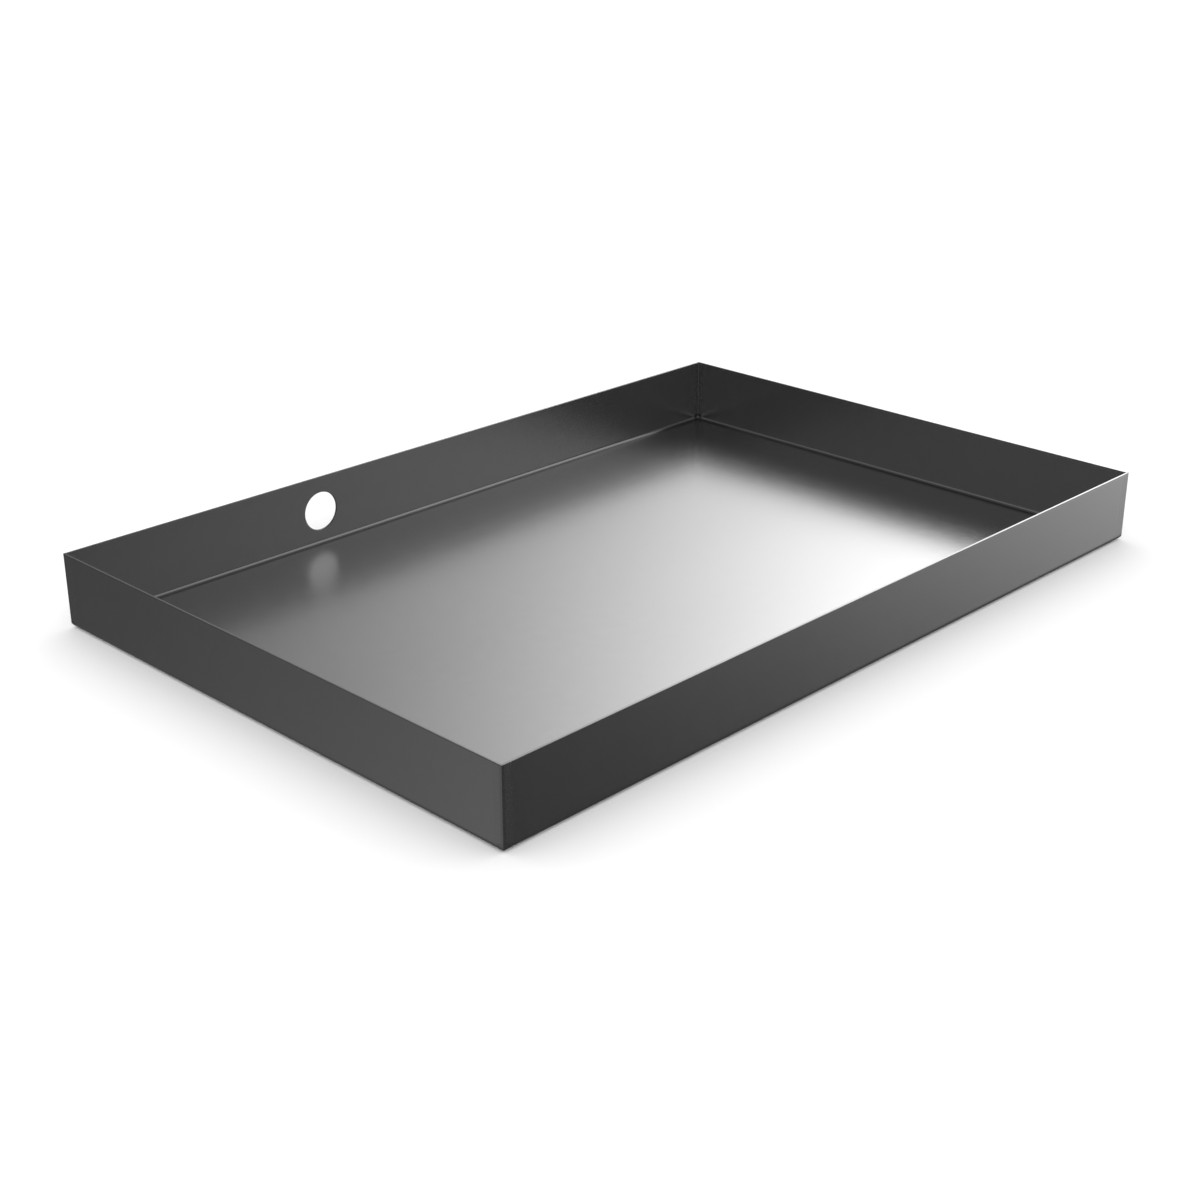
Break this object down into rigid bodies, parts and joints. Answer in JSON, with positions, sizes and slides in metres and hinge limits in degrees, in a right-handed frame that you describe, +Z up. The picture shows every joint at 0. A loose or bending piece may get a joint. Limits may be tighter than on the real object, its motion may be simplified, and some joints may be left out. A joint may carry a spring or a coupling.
{
  "type": "oil drain pan",
  "caption": "Shallow rectangular steel tray, folded from sheet with welded corners, that catches drained oil and has a round drain hole in a long wall.",
  "frame": {"origin": "centre of the underside, on the surface that the pan stands on", "axes": "+Z up out of the open top, X along the long side, +Y towards the long wall that has the drain hole"},
  "size_m": [0.762, 0.508, 0.0635],
  "materials": {
    "sheet_steel": "satin, fine rolling grain, unpainted",
    "weld_steel": "weld metal, ground flush outside"
  },
  "bodies": {
    "root": {"folded_pan": "sheet_steel", "corner_weld_front_left": "weld_steel", "corner_weld_front_right": "weld_steel", "corner_weld_back_right": "weld_steel", "corner_weld_back_left": "weld_steel"}
  },
  "joints": []
}
